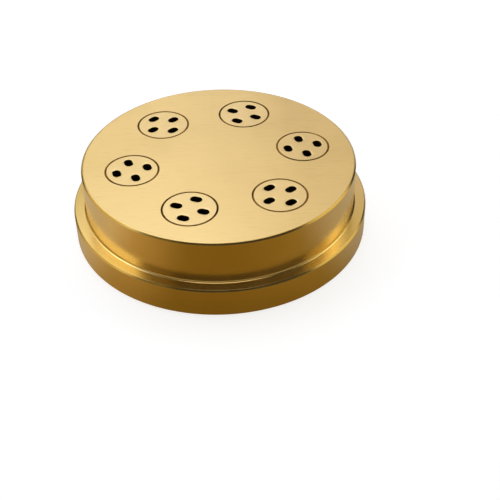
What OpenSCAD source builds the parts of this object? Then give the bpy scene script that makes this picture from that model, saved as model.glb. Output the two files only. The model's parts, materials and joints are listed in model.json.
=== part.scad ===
// Extrusion die for a small pasta machine: one turned brass body with a wider rear flange, and a ring
// of loose brass inserts that each form four oval strands.
// The outlet face looks up along +Z, the rear face lies at z = 0 and the axis of the die is Z.
// The first insert lies on +X.

/* [Body] */
// Diameter of the spigot that carries the outlet face
spigot_d = 71.6; // [64:0.2:90]
// How far the flange stands out beyond the spigot
flange_step = 3.2; // [2:0.1:8]
// Height of the flange
flange_h = 8; // [4:0.1:12]
// Fillet in the corner between flange and spigot
corner_fillet = 0.5; // [0.2:0.1:1.5]
// Chamfer on the turned outer edges
edge_chamfer = 0.4; // [0.1:0.05:1]

/* [Dough chamber] */
// Width of the seat ring round the rear chamber
seat_ring_w = 6; // [3:0.25:8]
// Depth of the rear chamber
chamber_depth = 6; // [3:0.25:9]
// Fillet round the chamber floor
chamber_fillet = 1.5; // [0.5:0.25:2.5]
// Chamfer at the mouth of the chamber
mouth_chamfer = 0.6; // [0.2:0.1:1]

/* [Inserts] */
// Number of inserts, evenly spaced
insert_count = 6; // [3:1:8]
// Diameter of the nose of an insert
insert_d = 13.6; // [10:0.2:16]
// Metal left between the inserts and the edge of the outlet face
rim_w = 6.2; // [3:0.1:8]
// Length of the nose, from its shoulder to the outlet face
nose_l = 9.3; // [6:0.1:14]
// Height of the head behind the shoulder
head_h = 4.5; // [2:0.25:8]
// How far the head stands out beyond the nose
head_lip = 1.25; // [0.6:0.05:2]
// Chamfer on the edges of the head
head_chamfer = 0.3; // [0.1:0.05:0.5]
// Radial clearance between an insert and its seat
seat_clearance = 0.05; // [0.02:0.01:0.15]
// Chamfer on both lips of the seam at the outlet face
seam_chamfer = 0.15; // [0.05:0.05:0.4]
// Turn of each insert in its seat, in degrees
insert_turns = [2, -11, 1, 7, -4, -3]; // [-15:1:15]

/* [Cups and outlets] */
// Wall round the cup of an insert
cup_wall = 1.2; // [0.8:0.1:2.5]
// Thickness of the land that the outlets pass through
land_t = 3.5; // [1.5:0.25:5]
// Fillet round the floor of the cup
cup_fillet = 0.3; // [0.1:0.1:0.6]
// Chamfer at the mouth of the cup
cup_chamfer = 0.5; // [0.1:0.1:1]
// Width of an outlet
outlet_w = 2.1; // [1:0.1:2.6]
// How much longer than wide an outlet is
outlet_stretch = 0.9; // [0.2:0.1:1.4]
// Flat land left between an outlet and the fillet of the cup
outlet_margin = 0.2; // [0.1:0.05:0.6]

/* [Hidden] */
$fn = 96;
// Overrun of a cut past the face that it opens
cut = 1;
// Overlap of shapes that are joined in one section
lap = 0.3;

spigot_r = spigot_d / 2;
flange_r = spigot_r + flange_step;
chamber_r = flange_r - seat_ring_w;

// The die is as high as its chamber and the insert that stands on the chamber floor
shoulder_z = chamber_depth + head_h;
face_z = shoulder_z + nose_l;

nose_r = insert_d / 2;
head_r = nose_r + head_lip;
cup_r = nose_r - cup_wall;
cup_floor_z = face_z - land_t;
pitch_r = spigot_r - rim_w - nose_r;

// Outlets lie just inside the fillet of the cup, with their long axis square to the die's radius
outlet_l = outlet_w + outlet_stretch;
land_r = cup_r - cup_fillet - outlet_margin;
outlet_radial = land_r - outlet_w / 2;
outlet_tangential = land_r - outlet_l / 2;
outlet_places = [[outlet_radial, 0], [0, outlet_tangential], [-outlet_radial, 0], [0, -outlet_tangential]];

brass = [0.86, 0.72, 0.44];
insert_brass = [0.82, 0.67, 0.38];

// Half section of a disc with chamfered edges: x is the radius, y the height
module disc_section(r, bottom, top, low_chamfer, high_chamfer) {
    polygon([
        [0, bottom],
        [r - low_chamfer, bottom],
        [r, bottom + low_chamfer],
        [r, top - high_chamfer],
        [r - high_chamfer, top],
        [0, top]
    ]);
}

// Half section of a round hollow that opens downwards, with a filleted floor and a chamfered mouth
module hollow_section(r, mouth, floor, fillet, chamfer) {
    translate([0, mouth - cut]) square([r - fillet, floor - mouth + cut]);
    translate([0, mouth - cut]) square([r, floor - fillet - mouth + cut]);
    translate([r - fillet, floor - fillet]) circle(fillet);
    polygon([
        [0, mouth - cut],
        [r + chamfer + cut, mouth - cut],
        [r, mouth + chamfer],
        [0, mouth + chamfer]
    ]);
}

// Concave fillet where the spigot rises from the flange
module corner_section() {
    difference() {
        translate([spigot_r - lap, flange_h - lap]) square(corner_fillet + lap);
        translate([spigot_r + corner_fillet, flange_h + corner_fillet]) circle(corner_fillet);
    }
}

module body_section() {
    difference() {
        union() {
            disc_section(flange_r, 0, flange_h, edge_chamfer, edge_chamfer);
            disc_section(spigot_r, 0, face_z, 0, edge_chamfer);
            corner_section();
        }
        hollow_section(chamber_r, 0, chamber_depth, chamber_fillet, mouth_chamfer);
    }
}

// Puts its children at the place of insert i, turned so that +X points away from the axis
module at_insert(i) {
    rotate(i * 360 / insert_count) translate([pitch_r, 0]) children();
}

// Stepped seat: the head's counterbore from behind, the nose's bore and the lip of the seam
module seat() {
    bore_r = nose_r + seat_clearance;
    translate([0, 0, -cut]) cylinder(h = shoulder_z + cut, r = head_r + seat_clearance);
    cylinder(h = face_z + cut, r = bore_r);
    translate([0, 0, face_z - seam_chamfer])
        cylinder(h = seam_chamfer + cut, r1 = bore_r, r2 = bore_r + seam_chamfer + cut);
}

module die_body() {
    color(brass) difference() {
        rotate_extrude() body_section();
        for (i = [0 : insert_count - 1]) at_insert(i) seat();
    }
}

module insert_section() {
    difference() {
        union() {
            disc_section(head_r, chamber_depth, shoulder_z, head_chamfer, head_chamfer);
            disc_section(nose_r, chamber_depth, face_z, 0, seam_chamfer);
        }
        hollow_section(cup_r, chamber_depth, cup_floor_z, cup_fillet, cup_chamfer);
    }
}

// Straight-sided oval with round ends, long along y
module outlet_outline() {
    square([outlet_w, outlet_stretch], center = true);
    for (side = [-1, 1]) translate([0, side * outlet_stretch / 2]) circle(d = outlet_w);
}

module forming_insert(i) {
    color(insert_brass) at_insert(i) rotate(insert_turns[i % len(insert_turns)]) difference() {
        rotate_extrude() insert_section();
        for (place = outlet_places)
            translate([place.x, place.y, cup_floor_z - cut]) linear_extrude(land_t + 2 * cut) outlet_outline();
    }
}

die_body();
for (i = [0 : insert_count - 1])
    forming_insert(i);
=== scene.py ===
import json
import math
import bpy
import bmesh
import numpy as np
from mathutils import Matrix, Vector


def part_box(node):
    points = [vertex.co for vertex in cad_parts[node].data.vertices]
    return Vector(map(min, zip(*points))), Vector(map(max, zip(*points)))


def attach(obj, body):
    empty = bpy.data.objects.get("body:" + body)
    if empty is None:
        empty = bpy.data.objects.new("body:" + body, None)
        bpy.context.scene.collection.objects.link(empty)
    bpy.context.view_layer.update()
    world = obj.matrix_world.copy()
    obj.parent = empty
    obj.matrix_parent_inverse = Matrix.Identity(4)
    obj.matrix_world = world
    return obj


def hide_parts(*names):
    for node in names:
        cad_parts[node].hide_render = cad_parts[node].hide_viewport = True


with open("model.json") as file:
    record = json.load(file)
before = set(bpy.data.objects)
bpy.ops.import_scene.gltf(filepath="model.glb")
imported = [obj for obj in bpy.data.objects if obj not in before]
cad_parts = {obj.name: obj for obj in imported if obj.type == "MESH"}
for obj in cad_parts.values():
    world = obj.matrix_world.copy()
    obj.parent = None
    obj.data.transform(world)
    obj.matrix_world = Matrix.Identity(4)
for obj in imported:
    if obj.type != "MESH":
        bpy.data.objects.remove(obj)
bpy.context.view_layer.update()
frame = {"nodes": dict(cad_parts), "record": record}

mm = 0.001
nearly = 0.999        # a round that would use up a whole leg stops just short of its end
mounts = {mount["name"]: mount for mount in frame["record"]["mounts"]}
insertNames = sorted(name for name in frame["nodes"] if name.startswith("insert_"))
print("frame loaded:", len(insertNames), "inserts in one body")

# The camera looks down on the outlet face from the front, a little to the left of -Y
camera = {
    "azimuth": -12.89,      # degrees, 0 looks along +Y
    "elevation": 39.52,     # degrees above the horizon
    "roll": -0.82,          # degrees
    "lens": 68.4,           # mm
    "sensor": 36,           # mm
    "clip": (0.005, 20),    # metres
    "distance": 261.03 * mm,
    "right": 7.97 * mm,     # how far the lens axis passes beside and below the foot of the die's axis
    "down": 8.78 * mm,
}


def placeCamera(spec):
    # Three axes of the camera: level right, up and forward, then a roll about forward
    turn, tilt, roll = (math.radians(spec[key]) for key in ("azimuth", "elevation", "roll"))
    level = Vector((math.cos(turn), math.sin(turn), 0))
    ahead = Vector((-math.sin(turn), math.cos(turn), 0))
    forward = ahead * math.cos(tilt) - Vector((0, 0, 1)) * math.sin(tilt)
    upright = ahead * math.sin(tilt) + Vector((0, 0, 1)) * math.cos(tilt)
    right = level * math.cos(roll) + upright * math.sin(roll)
    up = upright * math.cos(roll) - level * math.sin(roll)
    place = right * spec["right"] - up * spec["down"] - forward * spec["distance"]
    data = bpy.data.cameras.new("camera")
    data.lens = spec["lens"]
    data.sensor_width = spec["sensor"]
    data.clip_start, data.clip_end = spec["clip"]
    eye = bpy.data.objects.new("camera", data)
    axes = Matrix((right, up, -forward)).transposed()
    eye.matrix_world = Matrix.Translation(place) @ axes.to_4x4()
    bpy.context.scene.collection.objects.link(eye)
    bpy.context.scene.camera = eye


placeCamera(camera)
print("camera placed")


# Shapes shared by the pieces. A flat point is a complex number, so a turn is a product

def roundedProfile(corners, radii, steps):
    # Polyline of (radius, height) whose inner corners become arcs that touch both legs
    corners = np.asarray(corners, float)
    line = [corners[:1]]
    for before, corner, after, radius in zip(corners[:-2], corners[1:-1], corners[2:], radii):
        legIn = (before - corner) / np.linalg.norm(before - corner)
        legOut = (after - corner) / np.linalg.norm(after - corner)
        half = 0.5 * math.acos(np.clip(legIn @ legOut, -1, 1))
        middle = corner + (legIn + legOut) / np.linalg.norm(legIn + legOut) * radius / math.sin(half)
        start = corner + legIn * radius / math.tan(half) - middle
        end = corner + legOut * radius / math.tan(half) - middle
        sweep = math.pi - 2 * half
        t = np.linspace(0, 1, steps + 1)[:, None]
        arc = (np.sin((1 - t) * sweep) * start + np.sin(t * sweep) * end) / math.sin(sweep)
        line.append(middle + arc)
    line.append(corners[-1:])
    return np.vstack(line)


def turned(profile, angles, centre=0, spin=0):
    # Profile carried round an axis: point (i, j) is radius i at angle (i, j) and height i.
    # Its marks run with the cut: u is the way round in mm, v the way along the profile in mm
    angles = np.broadcast_to(angles, (len(profile), np.shape(angles)[-1]))
    flat = profile[:, :1] * np.exp(1j * (angles + spin)) + centre
    points = np.stack([flat.real, flat.imag, np.broadcast_to(profile[:, 1:], flat.shape)], axis=-1)
    along = np.concatenate([[0], np.cumsum(np.linalg.norm(np.diff(profile, axis=0), axis=1))])
    reach = max(profile[:, 0].max(), mm)
    marks = np.stack([angles * reach / mm, np.broadcast_to(along[:, None] / mm, angles.shape)], axis=-1)
    return points, marks


def sliceRim(radius, wedge, arcSteps, sideSteps):
    # Outline of a pie slice on +X: along the arc, in along one side to the axis and out along the other
    arc = np.linspace(-wedge / 2, wedge / 2, arcSteps + 1)
    inward = np.linspace(1, 0, sideSteps + 1)
    return radius * np.concatenate([
        np.exp(1j * arc),
        inward[1:] * np.exp(0.5j * wedge),
        inward[::-1][1:] * np.exp(-0.5j * wedge),
    ])


def holedSlice(rim, centre, reach, steps):
    # Flat slice with one hole: rays leave the hole's centre, and rows step from its edge to the rim
    rays = np.unwrap(np.angle(rim - centre))
    edge = centre + reach(rays) * np.exp(1j * rays)
    t = np.linspace(0, 1, steps + 1)[:, None]
    return edge + (rim - edge) * t, rays


def ovalReach(width, stretch):
    # Distance from an oval's centre to its edge at an angle: straight sides along y, round ends
    radius, half = width / 2, stretch / 2

    def reach(angle):
        across, along = np.abs(np.cos(angle)), np.abs(np.sin(angle))
        side = radius / np.maximum(across, 1e-9)
        end = half * along + np.sqrt(np.maximum(radius ** 2 - (half * across) ** 2, 0))
        return np.where(side * along <= half, side, end)
    return reach


def flatGrid(plane, height, brush):
    # Flat grid at one height; its marks lie along and across the brushing direction, in mm
    points = np.stack([plane.real, plane.imag, np.full(plane.shape, height)], axis=-1)
    lined = plane * np.exp(-1j * math.radians(brush)) / mm
    return points, np.stack([lined.real, lined.imag], axis=-1)


def gridCells(rows, columns, first=0):
    # One quad for each cell of a grid whose points are numbered row by row
    number = first + np.arange(rows * columns).reshape(rows, columns)
    corners = [number[:-1, :-1], number[:-1, 1:], number[1:, 1:], number[1:, :-1]]
    return np.stack(corners, axis=-1).reshape(-1, 4)


joining = {
    "doubles": 2e-6,        # metres within which two points are one
    "slivers": 1e-7,        # metres below which an edge is dropped
    "sharp": 35,            # degrees from which an edge is sharp
    "flatWeight": 100,      # flats stay flat, only the rounds bend
}


def joinGrids(name, grids, finishNames):
    # Each grid comes with its finish. Doubles are merged, so every seam and pole closes
    places, marks, quads, slots, first = [], [], [], [], 0
    for (points, grain), finish in grids:
        rows, columns = points.shape[:2]
        places.append(points.reshape(-1, 3))
        marks.append(grain.reshape(-1, 2))
        quads.append(gridCells(rows, columns, first))
        slots.append(np.full(len(quads[-1]), finishNames.index(finish), dtype=np.int32))
        first += rows * columns
    places, marks, quads, slots = (np.concatenate(part) for part in (places, marks, quads, slots))
    mesh = bpy.data.meshes.new(name)
    mesh.from_pydata(places, [], quads)
    layer = mesh.uv_layers.new(name="grain")
    layer.data.foreach_set("uv", marks[quads.ravel()].ravel().astype(np.float32))
    mesh.polygons.foreach_set("material_index", slots)
    for finish in finishNames:
        mesh.materials.append(brass[finish])
    bm = bmesh.new()
    bm.from_mesh(mesh)
    bmesh.ops.remove_doubles(bm, verts=bm.verts, dist=joining["doubles"])
    bmesh.ops.dissolve_degenerate(bm, edges=bm.edges, dist=joining["slivers"])
    bmesh.ops.recalc_face_normals(bm, faces=bm.faces)
    bm.to_mesh(mesh)
    openEdges = sum(1 for edge in bm.edges if len(edge.link_faces) != 2)
    bm.free()
    mesh.shade_smooth()
    mesh.set_sharp_from_angle(angle=math.radians(joining["sharp"]))
    piece = bpy.data.objects.new(name, mesh)
    bpy.context.scene.collection.objects.link(piece)
    level = piece.modifiers.new("faceNormals", "WEIGHTED_NORMAL")
    level.keep_sharp = True
    level.weight = joining["flatWeight"]
    print(name, len(mesh.polygons), "faces,", openEdges, "open edges")
    return piece


# Finishes. Lines of a cut or brushing follow each piece's own marks, in lines per mm.
# What all finishes share:
recipe = {
    "lineDetail": 3.0,
    "lineRoughness": 0.6,
    "strokeDetail": 2.0,
    "strokeShape": (3, 0.8),         # strokes against lines, along and across the cut
    "cloudDetail": 3.0,
    "cloudRoughness": 0.55,
    "noiseRange": (0.3, 0.7),        # most of a noise lies in it
    "scratchRange": (0.58, 0.72),    # the strongest strokes
    "cloudTone": 0.65,               # how much clouds and lines move the tone
    "lineTone": 0.35,
    "lineBlur": 0.02,                # how much lines move the roughness
    "lineDepth": 0.02 * mm,
    "acrossLines": 0.25,             # quarter turn of the stretched reflections
}


def addNode(tree, kind, links=(), **settings):
    # A link is a socket with either a plain value or the output that feeds it
    node = tree.nodes.new(kind)
    for key, value in settings.items():
        setattr(node, key, value)
    for socket, source in links:
        if hasattr(source, "is_output"):
            tree.links.new(source, node.inputs[socket])
        else:
            node.inputs[socket].default_value = source
    return node


def combine(tree, operation, first, second, **settings):
    sockets = [(0, first), (1, second)]
    return addNode(tree, "ShaderNodeMath", sockets, operation=operation, **settings).outputs[0]


def blend(tree, amount, first, second):
    # The mix node's colours are its inputs 6 and 7 and its output 2
    sockets = [(0, amount), (6, first), (7, second)]
    return addNode(tree, "ShaderNodeMix", sockets, data_type="RGBA").outputs[2]


def noise(tree, vector, scale, detail, roughness):
    sockets = [("Vector", vector), ("Scale", scale), ("Detail", detail), ("Roughness", roughness)]
    return addNode(tree, "ShaderNodeTexNoise", sockets).outputs["Fac"]


def lineNoise(tree, along, across, detail, turnedCut):
    # Noise drawn out along the cut. Round a turned surface the slow part comes from the place in space,
    # so that no seam shows where the marks close
    marks = addNode(tree, "ShaderNodeUVMap", uv_map="grain").outputs["UV"]
    if turnedCut:
        place = addNode(tree, "ShaderNodeTexCoord").outputs["Object"]
        flat = addNode(tree, "ShaderNodeSeparateXYZ", [("Vector", place)])
        rows = addNode(tree, "ShaderNodeSeparateXYZ", [("Vector", marks)])
        scaled = [
            combine(tree, "MULTIPLY", flat.outputs["X"], along / mm),
            combine(tree, "MULTIPLY", flat.outputs["Y"], along / mm),
            combine(tree, "MULTIPLY", rows.outputs["Y"], across),
        ]
        vector = addNode(tree, "ShaderNodeCombineXYZ", list(enumerate(scaled))).outputs["Vector"]
    else:
        sockets = [("Vector", marks), ("Scale", (along, across, 1))]
        vector = addNode(tree, "ShaderNodeMapping", sockets).outputs["Vector"]
    return noise(tree, vector, 1.0, detail, recipe["lineRoughness"])


def cloudNoise(tree, perMetre, detail):
    place = addNode(tree, "ShaderNodeTexCoord").outputs["Object"]
    return noise(tree, place, perMetre, detail, recipe["cloudRoughness"])


def spread(tree, source, toLow, toHigh, part=recipe["noiseRange"]):
    # Stretches one part of a noise to another range
    names = ("Value", "From Min", "From Max", "To Min", "To Max")
    sockets = list(zip(names, (source, *part, toLow, toHigh)))
    return addNode(tree, "ShaderNodeMapRange", sockets).outputs["Result"]


def makeFinish(name, spec):
    material = bpy.data.materials.new(name)
    material.use_nodes = True
    tree = material.node_tree
    shader = tree.nodes["Principled BSDF"]
    pale, deep, mark = ((*spec[key], 1) for key in ("pale", "deep", "mark"))
    along, across, stroke = spec["along"], spec["across"], recipe["strokeShape"]
    lines = lineNoise(tree, along, across, recipe["lineDetail"], spec["turned"])
    strokes = lineNoise(tree, along * stroke[0], across * stroke[1], recipe["strokeDetail"], spec["turned"])
    clouds = cloudNoise(tree, spec["clouds"], recipe["cloudDetail"])
    # tone: clouds and fine lines move the brass between a paler and a deeper shade of itself
    cloudShade = spread(tree, clouds, 0, recipe["cloudTone"])
    lineShade = spread(tree, lines, 0, recipe["lineTone"])
    tone = blend(tree, combine(tree, "ADD", cloudShade, lineShade), deep, pale)
    # marks: only the strongest strokes are left, as short darker scratches
    scratch = spread(tree, strokes, 0, spec["scratches"], recipe["scratchRange"])
    tree.links.new(blend(tree, scratch, tone, mark), shader.inputs["Base Color"])
    # roughness: smoother and rougher clouds, with the lines on top
    cloudBlur = spread(tree, clouds, *spec["roughness"])
    lineBlur = spread(tree, lines, -recipe["lineBlur"], recipe["lineBlur"])
    tree.links.new(combine(tree, "ADD", cloudBlur, lineBlur), shader.inputs["Roughness"])
    sockets = [("Strength", spec["bump"]), ("Distance", recipe["lineDepth"]), ("Height", lines)]
    bump = addNode(tree, "ShaderNodeBump", sockets)
    tree.links.new(bump.outputs["Normal"], shader.inputs["Normal"])
    shader.inputs["Metallic"].default_value = spec["metal"]
    if spec["stretch"] > 0:      # reflections draw out across the lines
        shader.inputs["Anisotropic"].default_value = spec["stretch"]
        shader.inputs["Anisotropic Rotation"].default_value = recipe["acrossLines"]
        tangent = addNode(tree, "ShaderNodeTangent", direction_type="UV_MAP", uv_map="grain")
        tree.links.new(tangent.outputs["Tangent"], shader.inputs["Tangent"])
    return material


# Each finish: lines per mm along and across the cut, whether they run round an axis, clouds per metre, paler
# and deeper shade, colour and strength of scratches, roughness from smooth to rough, height of the lines,
# stretch of reflections and share of metal
finishes = {
    "brushedFace": {"along": 0.06, "across": 2.4, "turned": False, "clouds": 55, "pale": (0.95, 0.735, 0.37),
                    "deep": (0.865, 0.66, 0.315), "mark": (0.60, 0.43, 0.18), "scratches": 0.22,
                    "roughness": (0.31, 0.42), "bump": 0.08, "stretch": 0.6, "metal": 1.0},
    "turnedSide": {"along": 0.03, "across": 5.0, "turned": True, "clouds": 80, "pale": (0.93, 0.71, 0.345),
                   "deep": (0.86, 0.645, 0.29), "mark": (0.66, 0.47, 0.19), "scratches": 0.12,
                   "roughness": (0.19, 0.25), "bump": 0.03, "stretch": 0.45, "metal": 1.0},
    "boredSeat": {"along": 0.05, "across": 4.0, "turned": True, "clouds": 200, "pale": (0.70, 0.50, 0.22),
                  "deep": (0.55, 0.38, 0.15), "mark": (0.30, 0.20, 0.07), "scratches": 0.6,
                  "roughness": (0.40, 0.60), "bump": 0.15, "stretch": 0.3, "metal": 1.0},
    # painted shade: the seam's edge strip, chamfer and upper gap are darkened to near black for the shade
    # between body and insert, broken by paler brown patches at random
    "seamLip": {"along": 0.10, "across": 0.4, "turned": True, "clouds": 130, "pale": (0.60, 0.36, 0.11),
                "deep": (0.015, 0.008, 0.002), "mark": (0.015, 0.010, 0.004), "scratches": 0.6,
                "roughness": (0.45, 0.65), "bump": 0.15, "stretch": 0.0, "metal": 1.0},
    "chamber": {"along": 0.02, "across": 3.5, "turned": True, "clouds": 80, "pale": (0.88, 0.67, 0.33),
                "deep": (0.76, 0.56, 0.25), "mark": (0.50, 0.35, 0.14), "scratches": 0.5,
                "roughness": (0.28, 0.40), "bump": 0.12, "stretch": 0.4, "metal": 1.0},
    "insertFace": {"along": 0.08, "across": 2.6, "turned": False, "clouds": 110, "pale": (0.93, 0.73, 0.385),
                   "deep": (0.88, 0.685, 0.35), "mark": (0.62, 0.45, 0.20), "scratches": 0.22,
                   "roughness": (0.31, 0.42), "bump": 0.08, "stretch": 0.6, "metal": 1.0},
    "insertTurned": {"along": 0.05, "across": 4.5, "turned": True, "clouds": 160, "pale": (0.89, 0.69, 0.35),
                     "deep": (0.78, 0.58, 0.27), "mark": (0.50, 0.35, 0.14), "scratches": 0.5,
                     "roughness": (0.26, 0.38), "bump": 0.10, "stretch": 0.4, "metal": 1.0},
    # painted shade: the outlets' walls are near-black brass, standing for the shade deep inside the holes
    "outletWall": {"along": 0.4, "across": 1.5, "turned": True, "clouds": 500, "pale": (0.030, 0.020, 0.010),
                   "deep": (0.008, 0.005, 0.003), "mark": (0.05, 0.035, 0.015), "scratches": 0.5,
                   "roughness": (0.55, 0.75), "bump": 0.2, "stretch": 0.0, "metal": 0.6},
}
brass = {name: makeFinish(name, spec) for name, spec in finishes.items()}
print("finishes made")


# The die's body

bodyLow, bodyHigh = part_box("die_body")
insertLow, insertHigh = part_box("insert_1")
dieBody = {
    "flangeRadius": (bodyHigh.x - bodyLow.x) / 2,
    "spigotRadius": mounts["spigot"]["dims"]["r_mm"] * mm,
    "faceHeight": bodyHigh.z,
    "flangeHeight": mounts["clamp_shoulder"]["pos_m"][2],
    "cornerFillet": 0.5 * mm,
    "edge": 0.4 * mm,            # chamfer of the outer edges
    "edgeRound": 0.05 * mm,      # softness of each arris
    "skirt": 0.25 * mm,          # strip of the outlet face that belongs to its rounded edge
    "chamberRadius": 33.0 * mm,
    "chamberFillet": 1.5 * mm,
    "mouth": 0.6 * mm,           # chamfer at the mouth of the chamber
    "pitch": (insertLow.x + insertHigh.x) / 2,
    "seatRadius": 6.85 * mm,
    "headSeatRadius": 8.1 * mm,
    "shoulderHeight": 10.5 * mm,
    "chamberHeight": insertLow.z,
    "seamChamfer": 0.15 * mm,
    "seamRound": 0.05 * mm,
    "seatRound": 0.08 * mm,      # softness of the seat's shoulder
    "seatStrip": 0.1 * mm,       # strip of the flat faces that belongs to a seat's edge
    "seamDepth": 1.0 * mm,       # how far down the painted shade of the seam reaches
    "brush": -13.0,              # degrees, the way the face was brushed
    "arcSteps": 48,              # steps round one sixth of the die
    "sideSteps": 22,             # steps from the rim to the axis
    "flatSteps": 6,              # steps from a seat to the rim
    "roundSteps": 8,
    "seatSteps": 4,
}


def makeBody(d):
    count = len(insertNames)
    wedge = 2 * math.pi / count
    face, step, shoulder, floor = (d[key + "Height"] for key in ("face", "flange", "shoulder", "chamber"))
    r, f, c = d["spigotRadius"], d["flangeRadius"], d["chamberRadius"]
    e, soft, m, fillet = d["edge"], d["edgeRound"], d["mouth"], d["chamberFillet"]
    outside = roundedProfile(
        [(r - e - d["skirt"], face), (r - e, face), (r, face - e), (r, step), (f - e, step), (f, step - e),
         (f, e), (f - e, 0), (c + m, 0), (c, m), (c, floor), (c - fillet, floor)],
        [soft, soft, d["cornerFillet"], soft, soft, soft, soft, soft, soft, fillet * nearly],
        d["roundSteps"])
    s, h, v, strip = d["seatRadius"], d["headSeatRadius"], d["seamChamfer"], d["seatStrip"]
    seat = roundedProfile(
        [(s + v + strip, face), (s + v, face), (s, face - v), (s, shoulder), (h, shoulder), (h, floor),
         (h + strip, floor)],
        [d["seamRound"], d["seamRound"], d["seatRound"], d["seatRound"], d["seamRound"]],
        d["seatSteps"])
    around = np.linspace(-wedge / 2, 2 * math.pi - wedge / 2, count * d["arcSteps"] + 1)
    topRim = sliceRim(outside[0, 0], wedge, d["arcSteps"], d["sideSteps"])
    floorRim = sliceRim(outside[-1, 0], wedge, d["arcSteps"], d["sideSteps"])
    top, topRays = holedSlice(topRim, d["pitch"], lambda angle: seat[0, 0], d["flatSteps"])
    bottom, floorRays = holedSlice(floorRim, d["pitch"], lambda angle: seat[-1, 0], d["flatSteps"])
    # The rays of a seat turn from those of the outlet face to those of the chamber floor
    drop = np.linspace(0, 1, len(seat))[:, None]
    rays = topRays + (floorRays - topRays) * drop
    # the seat's rows from the face down to the seam's shade depth carry the seam's painted shade
    lip = 1 + int(np.argmin(np.abs(seat[:, 1] - (face - d["seamDepth"]))))
    grids = [(turned(outside, around), "turnedSide")]
    for k in range(count):
        spin = np.exp(1j * k * wedge)
        centre = d["pitch"] * spin
        grids.append((flatGrid(top * spin, face, d["brush"]), "brushedFace"))
        grids.append((turned(seat[:lip], rays[:lip], centre, k * wedge), "seamLip"))
        grids.append((turned(seat[lip - 1:], rays[lip - 1:], centre, k * wedge), "boredSeat"))
        grids.append((flatGrid(bottom * spin, floor, d["brush"]), "chamber"))
    return joinGrids("dieBody", grids, ("brushedFace", "turnedSide", "boredSeat", "seamLip", "chamber"))


body = makeBody(dieBody)
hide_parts("die_body")
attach(body, "root")


# The inserts, one stepped cup with four oval outlets in each seat

insert = {
    "headRadius": (insertHigh.x - insertLow.x) / 2,
    "noseRadius": 6.8 * mm,
    "shoulderHeight": dieBody["shoulderHeight"],
    "headChamfer": 0.3 * mm,
    "edgeRound": 0.06 * mm,      # softness of each arris
    "seamChamfer": 0.15 * mm,
    "seamRound": 0.05 * mm,
    "seamStrip": 0.1 * mm,       # strip of the face that belongs to the seam's edge
    "cupRadius": 5.6 * mm,
    "cupFillet": 0.3 * mm,
    "cupChamfer": 0.5 * mm,
    "land": 3.5 * mm,            # thickness that the outlets pass through
    "outletWidth": 2.1 * mm,
    "outletStretch": 0.9 * mm,
    "outletRadial": 4.05 * mm,   # places of the outlets from the insert's axis
    "outletTangential": 3.6 * mm,
    "outletRound": 0.06 * mm,    # softness of an outlet's rim
    "turns": (2, -11, 1, 7, -4, -3),  # degrees that each insert has turned in its seat
    "arcSteps": 24,              # steps round one quarter of the insert
    "sideSteps": 14,             # steps from the rim to the axis
    "flatSteps": 4,              # steps from an outlet to the rim
    "roundSteps": 4,
    "rimSteps": 3,
}


def makeInsert(name, place, turn, d):
    low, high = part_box(name)
    base, face, shoulder = low.z, high.z, d["shoulderHeight"]
    land = face - d["land"]
    n, h, c = d["noseRadius"], d["headRadius"], d["cupRadius"]
    e, v, m, soft = d["headChamfer"], d["seamChamfer"], d["cupChamfer"], d["edgeRound"]
    section = roundedProfile(
        [(n - v - d["seamStrip"], face), (n - v, face), (n, face - v), (n, shoulder), (h - e, shoulder),
         (h, shoulder - e), (h, base + e), (h - e, base), (c + m, base), (c, base + m), (c, land),
         (c - d["cupFillet"], land)],
        [d["seamRound"], d["seamRound"], soft, soft, soft, soft, soft, soft, soft, d["cupFillet"] * nearly],
        d["roundSteps"])
    quarter = math.pi / 2        # one quarter of the insert for each outlet
    spin = place * 2 * math.pi / len(insertNames) + math.radians(turn)
    centre = (low.x + high.x) / 2 + 0.5j * (low.y + high.y)
    around = np.linspace(-quarter / 2, 2 * math.pi - quarter / 2, 4 * d["arcSteps"] + 1)
    lip = 1 + int(np.argmax(section[:, 1] < face - v))   # below its chamfer the nose has no painted seam shade
    grids = [
        (turned(section[:lip], around, centre, spin), "seamLip"),
        (turned(section[lip - 1:], around, centre, spin), "insertTurned"),
    ]
    topRim = sliceRim(section[0, 0], quarter, d["arcSteps"], d["sideSteps"])
    lowRim = sliceRim(section[-1, 0], quarter, d["arcSteps"], d["sideSteps"])
    # An outlet's wall: a rounded rim, the straight land and a rounded rim at the cup; its finish is painted
    # shade, near-black for the dark inside the hole rather than the brass it is
    outline = ovalReach(d["outletWidth"], d["outletStretch"])
    rim = d["outletRound"]
    bend = np.linspace(0, math.pi / 2, d["rimSteps"] + 1)
    grow = np.concatenate([rim * (1 - np.sin(bend)), rim * (1 - np.sin(bend[::-1]))])[:, None]
    drop = np.concatenate([face - rim * (1 - np.cos(bend)), land + rim * (1 - np.cos(bend[::-1]))])[:, None]
    brush = dieBody["brush"] + turn
    for k in range(4):
        level = k % 2 == 0       # the outlets on the radius lie across it, the other two along it
        hole = d["outletRadial"] if level else d["outletTangential"]
        lean = 0 if level else quarter

        def reach(angle, wider=rim):
            return outline(angle + lean) + wider
        top, topRays = holedSlice(topRim, hole, reach, d["flatSteps"])
        bottom, lowRays = holedSlice(lowRim, hole, reach, d["flatSteps"])
        rays = topRays + (lowRays - topRays) * ((face - drop) / (face - land))
        out = np.exp(1j * (k * quarter + spin))
        flat = (hole + reach(rays, grow) * np.exp(1j * rays)) * out + centre
        height = np.broadcast_to(drop, flat.shape)
        wall = np.stack([flat.real, flat.imag, height], axis=-1)
        wallMarks = np.stack([height / mm, rays], axis=-1)
        grids.append((flatGrid(top * out + centre, face, brush), "insertFace"))
        grids.append(((wall, wallMarks), "outletWall"))
        grids.append((flatGrid(bottom * out + centre, land, brush), "insertTurned"))
    return joinGrids(name.replace("_", ""), grids, ("insertFace", "insertTurned", "outletWall", "seamLip"))


for place, name in enumerate(insertNames):
    cup = makeInsert(name, place, insert["turns"][place % len(insert["turns"])], insert)
    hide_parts(name)
    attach(cup, "root")
print("pieces made")


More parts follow.
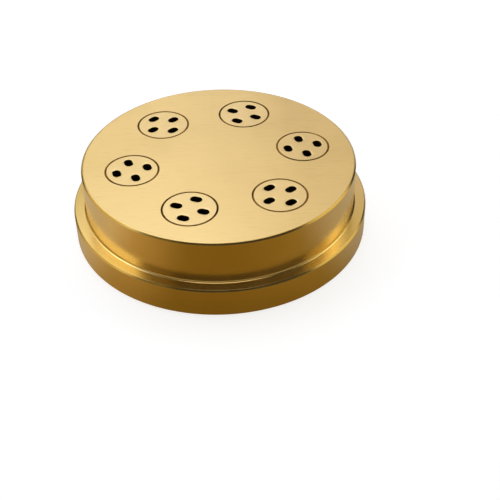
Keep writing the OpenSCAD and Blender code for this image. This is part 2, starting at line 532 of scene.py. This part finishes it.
# Studio: a white floor, a tent of soft light panels and a card on the table round the die.
# Angles are in degrees round the die from the camera's side, to the right, and above the table
studio = {
    "tentRadius": 1.2,
    "tentFoot": -4,              # lowest elevation of the tent
    "tentGrid": (145, 48),       # points round the die and upwards
    "softAzimuth": 9.0,          # how softly a panel fades at its sides
    "softElevation": 5.0,
    "panels": [                  # from, to, lowest, highest, light
        (175, 205, 50, 70, (2.45, 2.5, 2.7)),    # main light, high behind the die
        (205, 260, 50, 70, (1.5, 1.55, 1.6)),    # its left wing, which the brushed face spreads
        (145, 175, 50, 70, (1.0, 0.85, 0.6)),    # its right wing, weaker
        (225, 285, 39, 52, (1.6, 1.75, 1.6)),    # left side
        (105, 145, 38, 62, (1.5, 1.5, 1.15)),    # right side
        (182, 225, 36, 50, (1.2, 1.15, 0.9)),    # behind, at the height that the ring mirrors
        (145, 182, 36, 50, (0.65, 0.55, 0.25)),  # the same, weaker at the right
        (150, 190, 12, 36, (0.6, 0.55, 0.6)),    # low behind
        (190, 230, 16, 36, (0.4, 0.3, 0.1)),     # nothing lower, so that the edges turn dark at the sides
        (230, 290, 8, 40, (0.65, 0.5, 0.2)),     # gold sheets at both sides
        (75, 120, 5, 40, (0.8, 0.65, 0.25)),
        (-10, 370, 75, 95, (1.3, 1.2, 1.0)),     # top of the tent
        (285, 320, 20, 55, (0.12, 0.09, 0.02)),  # faint light for the foot of the wall at the left
        (-75, 75, 35, 64, (0.04, 0.03, 0.01)),   # dark cloth round the camera
        (-75, 75, 68, 78, (0.9, 0.75, 0.45)),    # light again above the cloth
        (-75, 75, -5, 27, (0.4, 0.35, 0.25)),    # and below it
    ],
    "cardRings": (38, 42, 46, 50, 60, 100, 200, 500),   # mm, the last ring meets the tent
    "cardHeight": 0.05 * mm,
    "cardFront": (0.22, 0.13, 0.02),
    "cardMiddle": (0.43, 0.29, 0.07),
    "cardBack": (0.4, 0.4, 0.35),
    "cardSpots": [               # from, to, light
        (238, 302, (0.2, 0.2, 0.2)),
        (290, 330, (0.15, 0.1, 0.05)),
        (58, 122, (0.1, 0.12, 0.16)),
    ],
    "softCard": 30.0,            # how softly a spot fades at its sides
    "cardShade": 0.80,           # painted shadow: share of the card's glow left close to the die, dimmed to stand for the die's shadow on it
    "shadeReach": (40 * mm, 50 * mm),
    "floorRings": (0, 30, 37, 38.5, 60, 150, 400, 1150),   # mm
    "floorSteps": 96,
    "floorHeight": -0.02 * mm,
    "underDie": 38 * mm,         # no glow inside this radius
    "plainWhite": 300 * mm,      # full white outside this radius
    "floorGlow": 0.785,          # glow between the two
    "floorColour": (0.40, 0.43, 0.55),
}


def glowMaterial(name):
    # Light of a panel, as written in its own colour marks
    material = bpy.data.materials.new(name)
    material.use_nodes = True
    tree = material.node_tree
    tree.nodes.remove(tree.nodes["Principled BSDF"])
    marks = addNode(tree, "ShaderNodeAttribute", attribute_name="glow")
    glow = addNode(tree, "ShaderNodeEmission", [("Color", marks.outputs["Color"]), ("Strength", 1.0)])
    tree.links.new(glow.outputs["Emission"], tree.nodes["Material Output"].inputs["Surface"])
    return material


def stageGrid(name, points, glow, material):
    # Grid of points with a colour at each; it belongs to the stage and the camera doesn't see it
    mesh = bpy.data.meshes.new(name)
    mesh.from_pydata(points.reshape(-1, 3), [], gridCells(*points.shape[:2]))
    colours = np.concatenate([glow, np.ones(glow.shape[:2] + (1,))], axis=-1)
    layer = mesh.color_attributes.new("glow", "FLOAT_COLOR", "POINT")
    layer.data.foreach_set("color", colours.ravel().astype(np.float32))
    mesh.materials.append(material)
    thing = bpy.data.objects.new(name, mesh)
    bpy.context.scene.collection.objects.link(thing)
    thing.visible_camera = False
    return thing


def flatRings(angles, radii, height):
    # Rings round the die's axis, angles along one axis of the grid and radii along the other
    level = np.full((len(angles), radii.size), height)
    return np.stack([radii * np.cos(angles), radii * np.sin(angles), level], axis=-1)


def softBand(angle, low, high, soft):
    # 1 between two angles, falling smoothly to 0 over the soft width at each
    rise = np.clip((angle - low) / soft + 0.5, 0, 1)
    fall = np.clip((high - angle) / soft + 0.5, 0, 1)
    return rise * rise * (3 - 2 * rise) * fall * fall * (3 - 2 * fall)


def softSector(azimuth, start, end, soft):
    # The same round the die, where a sector may pass the camera's side
    turn = (azimuth - (start + end) / 2 + 180) % 360 - 180
    reach = (end - start) / 2
    return softBand(turn, -reach, reach, soft)


def makeStudio(d):
    fromCamera = math.radians(camera["azimuth"] - 90)   # the camera's side of the die
    # The tent: a sphere's upper half, azimuth along one axis of the grid and elevation along the other
    columns, rows = d["tentGrid"]
    azimuth = np.linspace(0, 360, columns)[:, None]
    elevation = np.linspace(d["tentFoot"], 90, rows)[None, :]
    a, e = np.radians(azimuth) + fromCamera, np.radians(elevation)
    sphere = np.stack([np.cos(e) * np.cos(a), np.cos(e) * np.sin(a), np.sin(e) + 0 * a], axis=-1)
    glow = np.zeros(sphere.shape)
    for start, end, low, high, light in d["panels"]:
        upright = softBand(elevation, low, high, d["softElevation"])
        panel = softSector(azimuth, start, end, d["softAzimuth"]) * upright
        glow += panel[..., None] * np.array(light)
    panelGlow = glowMaterial("panelGlow")
    stageGrid("tent", d["tentRadius"] * sphere, glow, panelGlow)
    # The card: a ring on the table, whose light turns smoothly from front to middle to back
    rings = np.array([*(radius * mm for radius in d["cardRings"]), d["tentRadius"]])[None, :]
    front = (0.5 + 0.5 * np.cos(np.radians(azimuth)))[..., None] * np.ones((1, rings.size, 1))
    near, side, far = (np.array(d[key]) for key in ("cardFront", "cardMiddle", "cardBack"))
    glow = front ** 2 * near + 2 * front * (1 - front) * side + (1 - front) ** 2 * far
    for start, end, light in d["cardSpots"]:
        glow += softSector(azimuth, start, end, d["softCard"])[..., None] * np.array(light)
    # painted shadow: the card's glow is dimmed close to the die, as though the die shaded it
    glow *= np.interp(rings, d["shadeReach"], (d["cardShade"], 1.0))[..., None]
    card = stageGrid("card", flatRings(a, rings, d["cardHeight"]), glow, panelGlow)
    card.visible_diffuse = False
    card.visible_shadow = False


def makeFloor(d):
    material = bpy.data.materials.new("whiteFloor")
    material.use_nodes = True
    tree = material.node_tree
    tree.nodes.remove(tree.nodes["Principled BSDF"])
    path = addNode(tree, "ShaderNodeLightPath")
    seen = path.outputs["Is Camera Ray"]
    for kind in ("Is Glossy Ray", "Is Transmission Ray"):
        seen = combine(tree, "MAXIMUM", seen, path.outputs[kind])
    marks = addNode(tree, "ShaderNodeAttribute", attribute_name="glow")
    glow = addNode(tree, "ShaderNodeEmission", [("Color", marks.outputs["Color"]), ("Strength", seen)])
    matt = addNode(tree, "ShaderNodeBsdfDiffuse", [("Color", (*d["floorColour"], 1))])
    both = addNode(tree, "ShaderNodeAddShader", [(0, glow.outputs[0]), (1, matt.outputs[0])])
    # seen from below the floor is clear, for what the rear of the die mirrors too
    clear = addNode(tree, "ShaderNodeBsdfTransparent")
    backs = addNode(tree, "ShaderNodeNewGeometry").outputs["Backfacing"]
    below = combine(tree, "MAXIMUM", backs, path.outputs["Transparent Depth"], use_clamp=True)
    sides = addNode(tree, "ShaderNodeMixShader", [(0, below), (1, both.outputs[0]), (2, clear.outputs[0])])
    tree.links.new(sides.outputs[0], tree.nodes["Material Output"].inputs["Surface"])
    # A disc of rings round the die: no glow under the die, then the floor's own, and plain white far out
    around = np.radians(np.linspace(0, 360, d["floorSteps"] + 1))[:, None]
    rings = np.array(d["floorRings"])[None, :] * mm
    light = np.select([rings < d["underDie"], rings < d["plainWhite"]], [0.0, d["floorGlow"]], 1.0)
    glow = light[..., None] * np.ones((len(around), 1, 3))
    floor = stageGrid("floor", flatRings(around, rings, d["floorHeight"]), glow, material)
    floor.visible_camera = True


makeStudio(studio)
makeFloor(studio)
world = bpy.data.worlds.new("studio")
bpy.context.scene.world = world
world.use_nodes = True
world.node_tree.nodes["Background"].inputs["Color"].default_value = (1, 1, 1, 1)
world.node_tree.nodes["Background"].inputs["Strength"].default_value = 1.0
bpy.context.scene.view_settings.view_transform = "Standard"
print("studio set")
